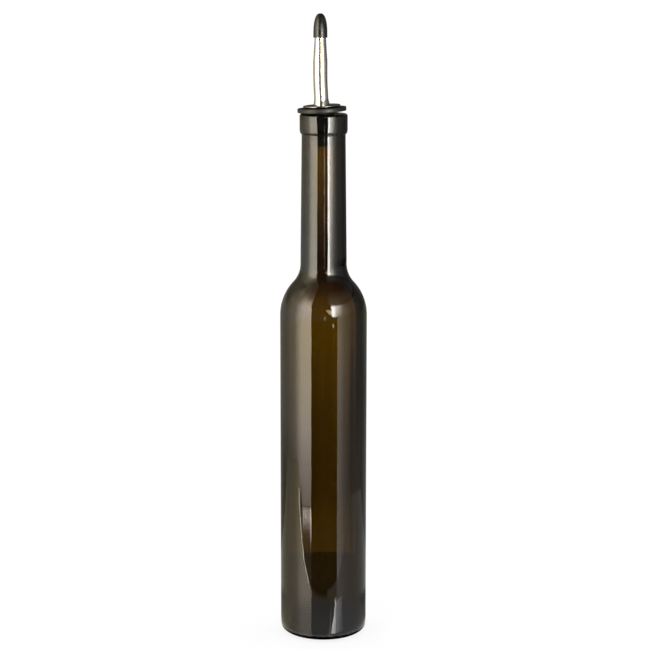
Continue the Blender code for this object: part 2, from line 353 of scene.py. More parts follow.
def steel_material(name, drawn, tone=1.0, base_rough=0.30):
    """Polished stainless steel with fine drawing lines along (drawn) the tube or across it."""
    mat, n = new_material(name)
    where = n.add("ShaderNodeTexCoord").outputs["Object"]
    scale = (2400.0, 2400.0, 60.0) if drawn else (700.0, 700.0, 4000.0)
    squeeze = n.add("ShaderNodeMapping", {"Scale": scale}, {"Vector": where})
    lines = n.add("ShaderNodeTexNoise", {"Scale": 1.0, "Detail": 3.0, "Roughness": 0.6},
                  {"Vector": squeeze.outputs[0]})
    stain = n.add("ShaderNodeTexNoise", {"Scale": 170.0, "Detail": 4.0, "Roughness": 0.6},
                  {"Vector": where})
    colour = n.ramp(stain.outputs["Fac"],
                    [(0.3, (0.60 * tone, 0.585 * tone, 0.55 * tone)),
                     (0.7, (0.70 * tone, 0.69 * tone, 0.665 * tone))])
    rough = n.add("ShaderNodeMapRange",
                  {"From Min": 0.3, "From Max": 0.7,
                   "To Min": base_rough - 0.03, "To Max": base_rough + 0.03},
                  {"Value": lines.outputs["Fac"]})
    bump = n.add("ShaderNodeBump", {"Strength": 0.04, "Distance": 0.00002},
                 {"Height": lines.outputs["Fac"]})
    shader = n.add("ShaderNodeBsdfPrincipled", {"Metallic": 1.0},
                   {"Base Color": colour.outputs["Color"],
                    "Roughness": rough.outputs["Result"], "Normal": bump.outputs["Normal"]})
    out = n.add("ShaderNodeOutputMaterial")
    n.link(shader.outputs[0], out.inputs["Surface"])
    return mat


def cap_material():
    """Soft black plastic: even sheen with a faint moulding grain."""
    mat, n = new_material("cap_plastic")
    where = n.add("ShaderNodeTexCoord").outputs["Object"]
    grain = n.add("ShaderNodeTexNoise", {"Scale": 1900.0, "Detail": 3.0, "Roughness": 0.55},
                  {"Vector": where})
    cloud = n.add("ShaderNodeTexNoise", {"Scale": 240.0, "Detail": 3.0, "Roughness": 0.6},
                  {"Vector": where})
    colour = n.ramp(cloud.outputs["Fac"],
                    [(0.35, (0.008, 0.008, 0.0085)), (0.7, (0.015, 0.015, 0.0155))])
    rough = n.add("ShaderNodeMapRange",
                  {"From Min": 0.3, "From Max": 0.7, "To Min": 0.22, "To Max": 0.29},
                  {"Value": cloud.outputs["Fac"]})
    bump = n.add("ShaderNodeBump", {"Strength": 0.06, "Distance": 0.00003},
                 {"Height": grain.outputs["Fac"]})
    shader = n.add("ShaderNodeBsdfPrincipled", {"IOR": 1.5},
                   {"Base Color": colour.outputs["Color"],
                    "Roughness": rough.outputs["Result"], "Normal": bump.outputs["Normal"]})
    out = n.add("ShaderNodeOutputMaterial")
    n.link(shader.outputs[0], out.inputs["Surface"])
    return mat


# ------------------------------------------------------------------ bottle
BOTTLE_SEGMENTS = 216


def punt(r, top, low, reach):
    t = min(r / reach, 1.0)
    return low + (top - low) * (0.5 + 0.5 * math.cos(math.pi * t)) ** 0.85


def bottle_profile():
    """Outside from the middle of the base to the mouth, then inside back down.

    Returns the points and the index of the first inside point."""
    points = []
    for i in range(25):
        r = (RING_IN_R - 0.9 * MM) * i / 24
        points.append((r, punt(r, PUNT_H, 0.0, RING_IN_R)))
    points += [(RING_IN_R - 0.45 * MM, 0.06 * MM), (RING_IN_R, 0.0)]
    points += straight((RING_IN_R, 0.0), (RING_OUT_R, 0.0), 2)
    points += quarter((RING_OUT_R, 0.0), (BODY_R, HEEL_HEIGHT), 14)[1:]
    points += straight(points[-1], (BODY_TOP_R, SHOULDER_Z), 40)
    points += arc((BODY_TOP_R - SHOULDER_R, SHOULDER_Z), SHOULDER_R, 0.0, SHOULDER_TURN, 24)[1:]
    r_turn, z_turn = points[-1]
    fillet = (
        r_turn + NECK_FILLET_R * math.cos(SHOULDER_TURN),
        z_turn + NECK_FILLET_R * math.sin(SHOULDER_TURN),
    )
    points += arc(fillet, NECK_FILLET_R, math.pi + SHOULDER_TURN, math.pi + NECK_TAPER, 20)[1:]
    points += straight(points[-1], (NECK_TOP_R + 0.02 * MM, COLLAR_LOW_Z - 0.5 * MM), 22)
    points += [(NECK_TOP_R + 0.05 * MM, COLLAR_LOW_Z - 0.12 * MM)]
    points += quarter(
        (NECK_TOP_R + 0.12 * MM, COLLAR_LOW_Z), (COLLAR_R, COLLAR_LOW_Z + COLLAR_ROUND_H), 12
    )
    points += straight(points[-1], (COLLAR_R, BOTTLE_H - COLLAR_EDGE_R), 4)
    points += arc(
        (COLLAR_R - COLLAR_EDGE_R, BOTTLE_H - COLLAR_EDGE_R),
        COLLAR_EDGE_R, 0.0, 0.5 * math.pi, 10,
    )[1:]
    points += straight(points[-1], (BORE_TOP_R + BORE_EDGE, BOTTLE_H), 3)
    points += arc(
        (BORE_TOP_R + BORE_EDGE, BOTTLE_H - BORE_EDGE), BORE_EDGE,
        0.5 * math.pi, math.pi, 6,
    )[1:]
    first_inside = len(points) - 6
    points += inside_run(fillet, 46, 20, 30)
    heel_in = quarter((GUTTER_R, GUTTER_Z), (BODY_R - WALL, 2.25 * GUTTER_Z), 12)[::-1]
    points += straight(points[-1], heel_in[0], 40)
    points += heel_in[1:]
    for i in range(23, -1, -1):
        r = GUTTER_R * i / 24
        points.append((r, punt(r, PUNT_H + FLOOR_T, GUTTER_Z, GUTTER_R)))
    return points, first_inside


def make_bottle():
    points, first_inside = bottle_profile()
    seam_at = (math.radians(52.0), math.radians(232.0))   # the two halves of the mould

    def shape(i, a, r, z):
        if i < first_inside:
            # mould seams: fine vertical lines that stop at the rounded rims
            if 3.0 * MM < z < COLLAR_LOW_Z + 1.5 * MM:
                for s in seam_at:
                    d = abs((a - s + math.pi) % (2.0 * math.pi) - math.pi) * r
                    r += 0.055 * MM * math.exp(-((d / (0.35 * MM)) ** 2))
            # knurled ring of small half-moons on the bearing edge
            if RING_IN_R - 0.2 * MM < r < RING_OUT_R + 3.2 * MM and z < 1.6 * MM:
                bite = 0.5 + 0.5 * math.sin(54.0 * a)
                z += 0.42 * MM * bite * smooth_step(r, RING_IN_R, RING_IN_R + 0.5 * MM) * (
                    1.0 - smooth_step(r, RING_OUT_R + 1.4 * MM, RING_OUT_R + 3.2 * MM))
            return r, z
        # the blown inside isn't quite round, nor quite even up its height
        body = smooth_step(z, 12.0 * MM, 30.0 * MM) * (
            1.0 - smooth_step(z, BOTTLE_H - 40.0 * MM, BOTTLE_H - 14.0 * MM))
        body *= 1.0 - 0.5 * smooth_step(z, 205.0 * MM, 240.0 * MM)
        wave = (
            0.10 * math.sin(2.0 * a + 0.6 + 9.0 * z)
            + 0.09 * math.sin(5.0 * a - 1.1 + 22.0 * z)
            + 0.05 * math.sin(9.0 * a + 2.3 - 31.0 * z)
            + 0.07 * math.sin(47.0 * z + 1.2 * math.sin(3.0 * a))
        )
        wave += 0.055 * math.cos(26.0 * a - 2.2) * (0.5 - 0.5 * math.sin(a))
        return r + wave * body * MM, z

    ob = turned("glass_bottle", points, BOTTLE_SEGMENTS, shape)
    ob.data.materials.append(glass_material())
    return ob


# ------------------------------------------------------------------ pourer
POURER = Matrix.Translation(SEAT) @ Matrix.Rotation(-LEAN, 4, "Y")
PLATE_LOW = FLANGE_T + BOSS_T + GAP
PLATE_TOP = PLATE_LOW + DISC_T


def place(ob):
    ob.data.transform(POURER)
    ob.data.update()
    return ob


def make_stopper():
    hole = TUBE_STEM_R + GAP
    e = FLANGE_EDGE_R
    points = [(hole, -PLUG_LEN), (PLUG_CORE_R - 1.0 * MM, -PLUG_LEN)]
    points += straight(points[-1], (PLUG_CORE_R, -PLUG_LEN + 1.2 * MM), 3)
    pitch = (PLUG_LEN - 3.0 * MM) / PLUG_RIBS
    for i in range(PLUG_RIBS):
        z = -PLUG_LEN + 2.2 * MM + pitch * i
        f = i / (PLUG_RIBS - 1)
        r = PLUG_RIB_LAST_R + (PLUG_RIB_FIRST_R - PLUG_RIB_LAST_R) * f
        points += [(PLUG_CORE_R, z), (PLUG_CORE_R + 0.1 * MM, z + 0.25 * MM)]
        points += [(r - 0.08 * MM, z + 0.95 * MM), (r, z + 1.15 * MM), (r, z + 1.4 * MM),
                   (r - 0.1 * MM, z + 1.6 * MM)]
        points += [(PLUG_CORE_R + 0.1 * MM, z + 1.95 * MM), (PLUG_CORE_R, z + 2.15 * MM)]
    points.append((PLUG_CORE_R, -0.15 * MM))
    points += [(PLUG_CORE_R + 0.12 * MM, 0.0)]
    points += straight(points[-1], (FLANGE_R - e, 0.0), 6)
    points += arc((FLANGE_R - e, e), e, -0.5 * math.pi, 0.0, 6)[1:]
    points += arc((FLANGE_R - e, FLANGE_T - e), e, 0.0, 0.5 * math.pi, 6)
    points += straight(points[-1], (BOSS_R + 0.15 * MM, FLANGE_T), 5)
    points += [(BOSS_R, FLANGE_T + 0.12 * MM), (BOSS_R - 0.1 * MM, FLANGE_T + BOSS_T)]
    points += straight(points[-1], (hole, FLANGE_T + BOSS_T), 4)
    ob = place(turned("pourer_stopper", points, 128, closed=True))
    ob.data.materials.append(rubber_material())
    return ob


def make_plate():
    """Pressed disc: rolled rim, shallow dish and a small raised seat round the tube."""
    hole = TUBE_STEM_R + GAP
    e = 0.5 * DISC_T
    dish = 0.16 * MM
    points = [(hole, PLATE_LOW)]
    points += straight(points[-1], (DISC_R - e, PLATE_LOW), 8)
    points += arc((DISC_R - e, PLATE_LOW + e), e, -0.5 * math.pi, 0.5 * math.pi, 14)[1:]
    points += [(DISC_R - 1.0 * MM, PLATE_TOP - 0.03 * MM), (DISC_R - 1.5 * MM, PLATE_TOP - dish),
               (DISC_R - 2.2 * MM, PLATE_TOP - 1.15 * dish)]
    points += straight(points[-1], (FOOT_R + 1.4 * MM, PLATE_TOP - 1.05 * dish), 6)
    points += straight(points[-1], (hole, PLATE_TOP - 0.12 * MM), 3)
    ob = place(turned("pourer_plate", points, 128, closed=True))
    ob.data.materials.append(steel_material("plate_steel", drawn=False, tone=0.46,
                                            base_rough=0.24))
    return ob


def spout_centre(z):
    slope = math.tan(LEAN)
    a, b = BEND_Z - 0.5 * BEND_LEN, BEND_Z + 0.5 * BEND_LEN
    if z <= a:
        run = z - SEAT.z
    elif z >= b:
        run = a - SEAT.z + 0.5 * BEND_LEN
    else:
        run = a - SEAT.z + (z - a) - (z - a) ** 2 / (2.0 * BEND_LEN)
    return Vector((SEAT.x - slope * run, SEAT.y, z))


def spout_radius(z, foot_z):
    if z < foot_z:
        return TUBE_STEM_R
    if z < foot_z + FOOT_H:
        t = (z - foot_z) / FOOT_H
        return TUBE_R + (FOOT_R - TUBE_R) * (1.0 - t) ** 2
    if z < TAPER_FROM_Z:
        return TUBE_R
    t = (z - TAPER_FROM_Z) / (TIP_Z - TAPER_FROM_Z)
    return TUBE_R + (TUBE_TIP_R - TUBE_R) * t ** 0.9


def spout_tilt(z):
    a, b = BEND_Z - 0.5 * BEND_LEN, BEND_Z + 0.5 * BEND_LEN
    if z <= a:
        return -LEAN
    if z >= b:
        return 0.0
    return -LEAN * (1.0 - (z - a) / BEND_LEN)


def make_spout():
    segments = 96
    low_z = SEAT.z - PLUG_LEN * math.cos(LEAN)
    foot_z = SEAT.z + (PLATE_TOP + GAP) * math.cos(LEAN)
    stations = [(low_z, TUBE_STEM_R), (foot_z, TUBE_STEM_R), (foot_z, FOOT_R - 0.25 * MM),
                (foot_z + 0.08 * MM, FOOT_R - 0.05 * MM), (foot_z + 0.22 * MM, FOOT_R - 0.08 * MM)]
    steps = 70
    for i in range(1, steps + 1):
        z = foot_z + 0.3 * MM + (TIP_Z - 0.3 * MM - foot_z - 0.3 * MM) * i / steps
        stations.append((z, spout_radius(z, foot_z)))
    lip = 0.25 * MM
    stations += [(TIP_Z - 0.07 * MM, TUBE_TIP_R - 0.5 * lip + 0.05 * MM),
                 (TIP_Z, TUBE_TIP_R - lip), (TIP_Z, TUBE_BORE_TIP_R + lip),
                 (TIP_Z - 0.1 * MM, TUBE_BORE_TIP_R)]
    for i in range(1, 13):
        t = i / 12
        stations.append((TIP_Z - 0.1 * MM + (low_z - TIP_Z + 0.1 * MM) * t,
                         TUBE_BORE_TIP_R + (TUBE_BORE_R - TUBE_BORE_TIP_R) * min(1.0, 1.6 * t)))
    bm = bmesh.new()
    rings = []
    for z, r in stations:
        turn = Matrix.Rotation(spout_tilt(z), 3, "Y")
        centre = spout_centre(z)
        rings.append([
            bm.verts.new(centre + turn @ Vector((
                r * math.cos(2.0 * math.pi * k / segments),
                r * math.sin(2.0 * math.pi * k / segments), 0.0)))
            for k in range(segments)
        ])
    for low, high in list(zip(rings, rings[1:])) + [(rings[-1], rings[0])]:
        for k in range(segments):
            m = (k + 1) % segments
            bm.faces.new((low[k], low[m], high[m], high[k]))
    bmesh.ops.recalc_face_normals(bm, faces=bm.faces[:])
    ob = as_object("pourer_spout", bm, sharp=50.0)
    ob.data.materials.append(steel_material("spout_steel", drawn=True, tone=0.90, base_rough=0.23))
    return ob


def make_cap():
    """Soft cap pushed over the tip: short straight skirt, bullet nose, hollow inside."""
    centre_x = spout_centre(CAP_RIM_Z).x
    nose = CAP_TOP_Z - CAP_RIM_Z - CAP_STRAIGHT
    hole = TUBE_TIP_R + GAP + 0.02 * MM
    points = []
    inner_top = TIP_Z + GAP
    for i in range(7):
        points.append((hole * i / 6, inner_top))
    points += straight(points[-1], (TUBE_TIP_R + 1.15 * MM, CAP_RIM_Z + 0.15 * MM), 8)
    points += [(TUBE_TIP_R + 1.2 * MM, CAP_RIM_Z)]
    points = [p for p in points if True]
    rim_in = max(p[0] for p in points)
    if rim_in > CAP_R - 0.35 * MM:
        points = [(r * (CAP_R - 0.35 * MM) / rim_in, z) for r, z in points]
    points += [(CAP_R - 0.18 * MM, CAP_RIM_Z), (CAP_R - 0.04 * MM, CAP_RIM_Z + 0.08 * MM),
               (CAP_R, CAP_RIM_Z + 0.25 * MM)]
    points += straight(points[-1], (CAP_R, CAP_RIM_Z + CAP_STRAIGHT), 4)
    for i in range(1, 29):
        a = 0.5 * math.pi * i / 28
        c, s = math.cos(a), math.sin(a)
        r = CAP_R * max(c, 0.0) ** (2.0 / CAP_POWER)
        z = CAP_RIM_Z + CAP_STRAIGHT + nose * s ** (2.0 / CAP_POWER)
        points.append((r if i < 28 else 0.0, z))
    ob = turned("pourer_cap", points, 96)
    ob.data.transform(Matrix.Translation((centre_x, 0.0, 0.0)))
    ob.data.materials.append(cap_material())
    return ob


pieces = (
    (make_bottle(), "bottle", "glass"),
    (make_stopper(), "stopper", "stopper"),
    (make_plate(), "spout_plate", "steel_plate"),
    (make_spout(), "spout", "steel"),
    (make_cap(), "tip_cap", "tip_cap"),
)
for piece, node, slot in pieces:
    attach(piece, "root")
    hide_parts(node)


# ------------------------------------------------------------------ studio
def stage_object(name, bm, mat, camera=True, diffuse=True, glossy=True, transmission=True,
                 shadow=True):
    ob = as_object(name, bm)
    ob.data.materials.append(mat)
    ob.visible_camera = camera
    ob.visible_diffuse = diffuse
    ob.visible_glossy = glossy
    ob.visible_transmission = transmission
    ob.visible_volume_scatter = False
    ob.visible_shadow = shadow
    return ob


def quad(x0, y0, x1, y1, z, cuts=1):
    bm = bmesh.new()
    vs = [[bm.verts.new((x0 + (x1 - x0) * i / cuts, y0 + (y1 - y0) * j / cuts, z))
           for j in range(cuts + 1)] for i in range(cuts + 1)]
    for i in range(cuts):
        for j in range(cuts):
            bm.faces.new((vs[i][j], vs[i + 1][j], vs[i + 1][j + 1], vs[i][j + 1]))
    return bm


def glow_material(name):
    mat, n = new_material(name)
    glow = n.add("ShaderNodeAttribute", attribute_name="glow")
    light = n.add("ShaderNodeEmission", {"Strength": 1.0}, {"Color": glow.outputs["Color"]})
    out = n.add("ShaderNodeOutputMaterial")
    n.link(light.outputs[0], out.inputs["Surface"])
    return mat


GLOW = glow_material("softbox_glow")


def stops(x, *pairs):
    """Straight lines between (x, value) pairs."""
    if x <= pairs[0][0]:
        return pairs[0][1]
    for (x0, v0), (x1, v1) in zip(pairs, pairs[1:]):
        if x <= x1:
            return v0 + (v1 - v0) * (x - x0) / (x1 - x0)
    return pairs[-1][1]


def card(name, reach, from_deg, to_deg, low, high, colour, brightness, across=64, up=40):
    """Curved soft light round the object, seen only in reflections and through the glass.

    Angles are measured from the camera's side towards +X.  reach is its distance from the
    axis at its lower and upper edge; colour(angle, height) and brightness(angle, height)
    give its light."""
    bm = bmesh.new()
    glow = bm.verts.layers.float_color.new("glow")
    grid = []
    for i in range(across + 1):
        deg = from_deg + (to_deg - from_deg) * i / across
        a = math.radians(deg)
        column = []
        for j in range(up + 1):
            z = low + (high - low) * j / up
            radius = reach[0] + (reach[1] - reach[0]) * j / up
            v = bm.verts.new((radius * math.sin(a), -radius * math.cos(a), z))
            e = brightness(deg, z)
            r, g, b = colour(deg, z)
            v[glow] = (r * e, g * e, b * e, 1.0)
            column.append(v)
        grid.append(column)
    for i in range(across):
        for j in range(up):
            bm.faces.new((grid[i][j], grid[i + 1][j], grid[i + 1][j + 1], grid[i][j + 1]))
    return stage_object(name, bm, GLOW, camera=False, diffuse=False, shadow=False)


FOOT_Z = -0.081          # where the big softbox ends and its crumpled hem starts


def left_box(deg, z):
    a = -deg
    e = stops(a, (50, 5.8), (61, 5.2), (67.5, 3.7), (74, 2.1), (81, 1.75), (88, 1.4), (96, 1.05),
              (105, 0.8), (114, 0.62), (125, 0.48), (138, 0.36), (158, 0.28), (176, 0.28))
    e *= 1.0 + 0.3 * (1.0 - smooth_step(a, 32.5, 35.0))
    e *= stops(z, (FOOT_Z, 0.40), (-0.077, 0.41), (-0.0625, 0.49), (-0.048, 0.59),
               (-0.038, 0.66), (-0.02, 0.82), (0.0, 0.95), (0.03, 1.03), (0.10, 1.12),
               (0.22, 1.15), (0.252, 1.17), (0.262, 1.42), (0.272, 1.30), (0.30, 1.18),
               (0.36, 1.2), (0.42, 1.45), (0.50, 1.2), (0.72, 0.66), (0.90, 0.36),
               (1.30, 0.28), (2.20, 0.22), (2.60, 0.12))
    # high up it is dimmer near the middle and more even round the side
    turn = stops(a, (46, 0.42), (62, 0.58), (75, 1.2), (91, 2.3), (105, 1.6), (130, 1.3))
    e *= 1.0 + (turn - 1.0) * smooth_step(z, 0.52, 0.76)
    e *= 1.0 - 0.38 * smooth_step(z, 0.9, 1.25) * (1.0 - smooth_step(a, 66.0, 84.0))
    e *= 1.0 - 0.42 * smooth_step(a, 108.0, 126.0) * smooth_step(z, 0.25, 0.29) * (
        1.0 - smooth_step(z, 0.42, 0.60))
    e *= 1.0 - 0.95 * smooth_step(a, 56.5, 59.0) * (1.0 - smooth_step(a, 68.0, 73.0)) * (
        1.0 - smooth_step(z, -0.070, -0.060))
    if a > 100.0 and z < 0.05:
        e = max(e, left_low(deg, z))
    side = 33.9 * smooth_step(z, 0.28, 0.42)
    return e * (smooth_step(a, side, side + 0.9) if side > 31.5 else 1.0)


def warm(deg, z):
    far = smooth_step(-deg, 75.0, 95.0)
    g = stops(z, (0.08, 0.895), (0.155, 0.95), (0.20, 0.93), (0.25, 0.90), (0.36, 0.95),
              (0.44, 0.88))
    b = stops(z, (-0.06, 0.79), (-0.01, 0.75), (0.03, 0.69), (0.08, 0.64), (0.12, 0.70),
              (0.155, 0.79), (0.20, 0.72), (0.25, 0.71), (0.30, 0.80), (0.36, 0.88),
              (0.42, 0.70), (0.50, 0.64))
    b_far = stops(z, (-0.081, 0.62), (0.0, 0.75), (0.08, 0.64), (0.15, 0.86), (0.23, 0.76), (0.28, 0.62),
                  (0.5, 0.58))
    g_far = stops(z, (0.09, g), (0.15, 0.96), (0.23, 0.96), (0.28, 0.88))
    return (1.0, g + (g_far - g) * far, b + (b_far - b) * far)


def left_hem(deg, z):
    a = -deg
    e = stops(z, (-0.175, 0.25), (-0.135, 0.32), (-0.124, 0.22), (-0.114, 0.30), (-0.106, 0.65),
              (-0.0985, 2.4), (-0.092, 5.6), (-0.086, 5.0), (FOOT_Z, 2.6))
    grain = noise.fractal(Vector((a * 0.55, z * 420.0, 0.0)), 0.6, 2.2, 4)
    e *= max(0.15, 1.0 + 1.3 * grain) * (1.0 - smooth_step(a, 55.0, 58.5))
    edge = 1.0 - smooth_step(a, 33.6, 35.8)
    return e + 7.5 * edge * smooth_step(z, -0.128, -0.097)


def warm_low(deg, z):
    r, g, b = warm(deg, z)
    far = smooth_step(-deg, 62.0, 95.0)
    return (r, g * (0.97 - 0.03 * far), b * (0.88 + 0.04 * far))


def left_low(deg, z):
    return stops(-deg, (60, 0.30), (100, 0.26), (125, 0.24), (150, 0.26), (168, 0.30))


def right_box(deg, z):
    e = stops(deg, (20.0, 23.0), (24.0, 22.5), (29.0, 19.5), (33.0, 13.0), (38.5, 9.9),
              (43.0, 7.6), (46.0, 5.8), (52.0, 2.8), (58.0, 1.35), (67.0, 0.74), (73.0, 0.58),
              (80.0, 0.46), (94.0, 0.37), (108.0, 0.2), (120.0, 0.13), (150.0, 0.13),
              (172.0, 0.2))
    mid = smooth_step(deg, 26.0, 36.0) * (1.0 - smooth_step(deg, 50.0, 62.0))
    e *= 1.0 - mid * (1.0 - stops(z, (0.206, 0.45), (0.23, 0.58), (0.26, 0.70), (0.30, 0.9),
                                  (0.34, 1.0)))
    e *= stops(z, (0.206, 0.86), (0.25, 1.0), (0.37, 1.0), (0.386, 0.48), (0.41, 0.29),
               (0.45, 0.13), (0.50, 0.06))
    e = max(e, 0.20 * smooth_step(z, 0.40, 0.44))
    return e * smooth_step(z, 0.206, 0.210)


def right_glow(deg, z):
    e = stops(deg, (12.0, 0.2), (22.0, 0.55), (42.0, 0.55), (52.0, 0.38), (72.0, 0.25),
              (100.0, 0.20), (168.0, 0.2))
    return e * stops(z, (0.50, 1.0), (0.60, 0.9), (0.70, 0.6), (0.85, 0.3), (1.0, 0.22),
                     (1.3, 0.16))


def patch_side(deg, z):
    slant = 0.27 + 0.012 * max(20.0 - deg, 0.0)
    return 6.5 * smooth_step(deg, 7.5, 8.6) * smooth_step(z, slant, slant + 0.03) * (
        1.0 - smooth_step(z, 0.49, 0.53))


def amber(deg, z):
    return (1.0, stops(deg, (9.0, 0.76), (16.0, 0.87), (20.0, 0.95)),
            stops(deg, (9.0, 0.36), (16.0, 0.54), (20.0, 0.80)))


def day(deg, z):
    return (1.0, 0.96, stops(deg, (25, 0.93), (36, 0.88), (45, 0.84), (60, 0.86)))


def right_fill(deg, z):
    e = stops(deg, (36.0, 1.75), (44.6, 1.33), (52.0, 0.95), (59.0, 0.68), (67.0, 0.48),
              (75.0, 0.36), (93.0, 0.23), (115.0, 0.13), (128.0, 0.15), (146.0, 0.17),
              (176.0, 0.28))
    e *= smooth_step(deg, 34.8, 36.2)
    low = stops(deg, (50.0, 1.0), (57.0, 1.0), (68.0, 1.0), (82.0, 1.05), (97.0, 1.06),
                (107.0, 1.12), (115.0, 1.0), (128.0, 1.0))
    e *= 1.0 + (low - 1.0) * (1.0 - smooth_step(z, 0.09, 0.14))
    side = smooth_step(deg, 85.0, 105.0)
    e *= 1.0 + side * stops(z, (-0.02, 0.6), (0.02, 0.5), (0.05, 0.25), (0.08, 0.0))
    e *= stops(z, (0.0, 0.95), (0.07, 1.02), (0.13, 1.3))
    return e * smooth_step(z, -0.32, -0.2)


def fill(deg, z):
    return (0.98, 1.0, stops(z, (0.02, 0.95), (0.10, 0.95), (0.14, 0.80)))


def camera_gap(deg, z):
    return 4.2 * smooth_step(z, 0.035, 0.20) * (1.0 - smooth_step(z, 0.226, 0.238))


def shade(deg, z):
    return (1.0, 0.9, 0.72)


card("left_softbox", (0.60, 0.60), -32.2, -168.0, FOOT_Z, 2.60, warm, left_box, 200, 130)
card("softbox_hem", (0.598, 0.598), -32.2, -60.0, -0.175, FOOT_Z, warm, left_hem, 110, 90)
card("left_low_card", (0.60, 0.60), -60.0, -168.0, -0.32, FOOT_Z, warm_low, left_low, 54, 4)
card("right_softbox", (0.20, 0.51), 20.3, 168.0, 0.206, 0.50, day, right_box, 150, 70)
card("right_softbox_top", (0.51, 0.51), 12.0, 168.0, 0.50, 1.30, lambda deg, z: (0.97, 1.0, 1.0),
     right_glow, 78, 30)
card("patch_light", (0.90, 0.90), 7.5, 20.3, 0.27, 0.53, amber, patch_side, 24, 26)
card("right_reflector", (0.35, 0.35), 34.6, 168.0, -0.32, 0.207, fill, right_fill, 100, 44)
card("slit_light", (1.0, 1.0), 2.0, 5.4, 0.035, 0.238, shade, camera_gap, 4, 30)
card("lamp_glint", (0.348, 0.348), 23.5, 24.9, 0.1368, 0.1436, lambda deg, z: (1.0, 1.0, 0.95),
     lambda deg, z: 20.0, 4, 4)

# the floor that the camera sees: pale, evenly lit, with a soft contact shadow
floor_mat, fn = new_material("pale_floor")
speck = fn.add("ShaderNodeTexNoise", {"Scale": 30.0, "Detail": 3.0},
               {"Vector": fn.add("ShaderNodeTexCoord").outputs["Object"]})
tone = fn.ramp(speck.outputs["Fac"], [(0.3, (0.17, 0.17, 0.17)), (0.7, (0.19, 0.19, 0.19))])
matt = fn.add("ShaderNodeBsdfDiffuse", links={"Color": tone.outputs["Color"]})
lift = fn.add("ShaderNodeEmission", {"Color": (1.0, 1.0, 1.0, 1.0), "Strength": 0.83})
both = fn.add("ShaderNodeAddShader")
fn.link(matt.outputs[0], both.inputs[0])
fn.link(lift.outputs[0], both.inputs[1])
fn.link(both.outputs[0], fn.add("ShaderNodeOutputMaterial").inputs["Surface"])
stage_object("floor", quad(-6.0, -6.0, 6.0, 6.0, -0.0002), floor_mat,
             glossy=False, transmission=False)

# the small table top that the glass mirrors and shows through its walls
TABLE_BACK = 0.16
table_mat, tn = new_material("table_top")
# its painted glow is dark close to the bottle as painted shade, with one thin bright ring of painted
# light just outside the heel; its mirror is painted darker close to the bottle too
spot = tn.add("ShaderNodeNewGeometry").outputs["Position"]
reach = tn.add("ShaderNodeVectorMath", operation="LENGTH", links={0: spot}).outputs["Value"]
radius = tn.add("ShaderNodeMapRange", {"From Min": 0.02, "From Max": 0.14}, {"Value": reach})
mirror_with_painted_shade = tn.ramp(radius.outputs["Result"], [
    (0.05, (0.10, 0.10, 0.10)), (0.17, (0.22, 0.22, 0.22)), (0.42, (0.28, 0.28, 0.28)),
    (0.9, (0.36, 0.36, 0.36))])
# painted light: the table top glows by itself, though it is no lamp
haze_and_painted_glow = tn.ramp(radius.outputs["Result"], [
    (0.056, (0.0, 0.0, 0.0)), (0.066, (0.06, 0.06, 0.055)), (0.080, (1.0, 0.98, 0.92)),
    (0.112, (1.1, 1.08, 1.0)), (0.160, (0.42, 0.42, 0.41)), (0.40, (0.39, 0.40, 0.37)),
    (1.0, (0.38, 0.38, 0.34))])
shine = tn.add("ShaderNodeBsdfGlossy", {"Roughness": 0.05}, {"Color": mirror_with_painted_shade.outputs["Color"]})
glow = tn.add("ShaderNodeEmission", {"Strength": 1.0}, {"Color": haze_and_painted_glow.outputs["Color"]})
table_mix = tn.add("ShaderNodeAddShader")
tn.link(shine.outputs[0], table_mix.inputs[0])
tn.link(glow.outputs[0], table_mix.inputs[1])
tn.link(table_mix.outputs[0], tn.add("ShaderNodeOutputMaterial").inputs["Surface"])
TABLE_LEFT = -0.45
TABLE_RIGHT = 0.45
SKEW = 0.07              # its front edge isn't quite square to the camera


def front_edge(x):
    return -0.1085 + SKEW * x


bm = bmesh.new()
bm.faces.new([bm.verts.new(p) for p in (
    (TABLE_LEFT, front_edge(TABLE_LEFT), -0.0004), (TABLE_RIGHT, front_edge(TABLE_RIGHT), -0.0004),
    (TABLE_RIGHT, TABLE_BACK, -0.0004), (TABLE_LEFT, TABLE_BACK, -0.0004))])
stage_object("table_top", bm, table_mat, camera=False, diffuse=False, glossy=False,
             shadow=False)


def front_line(x):
    """Front edge of the table as the glass mirrors it: skewed on the left, rounded off."""
    return -0.115 + 0.15 * (x + 0.078) if x < -0.078 else -0.124


def on_table(x, y):
    return TABLE_LEFT < x < TABLE_RIGHT and front_line(x) < y < TABLE_BACK


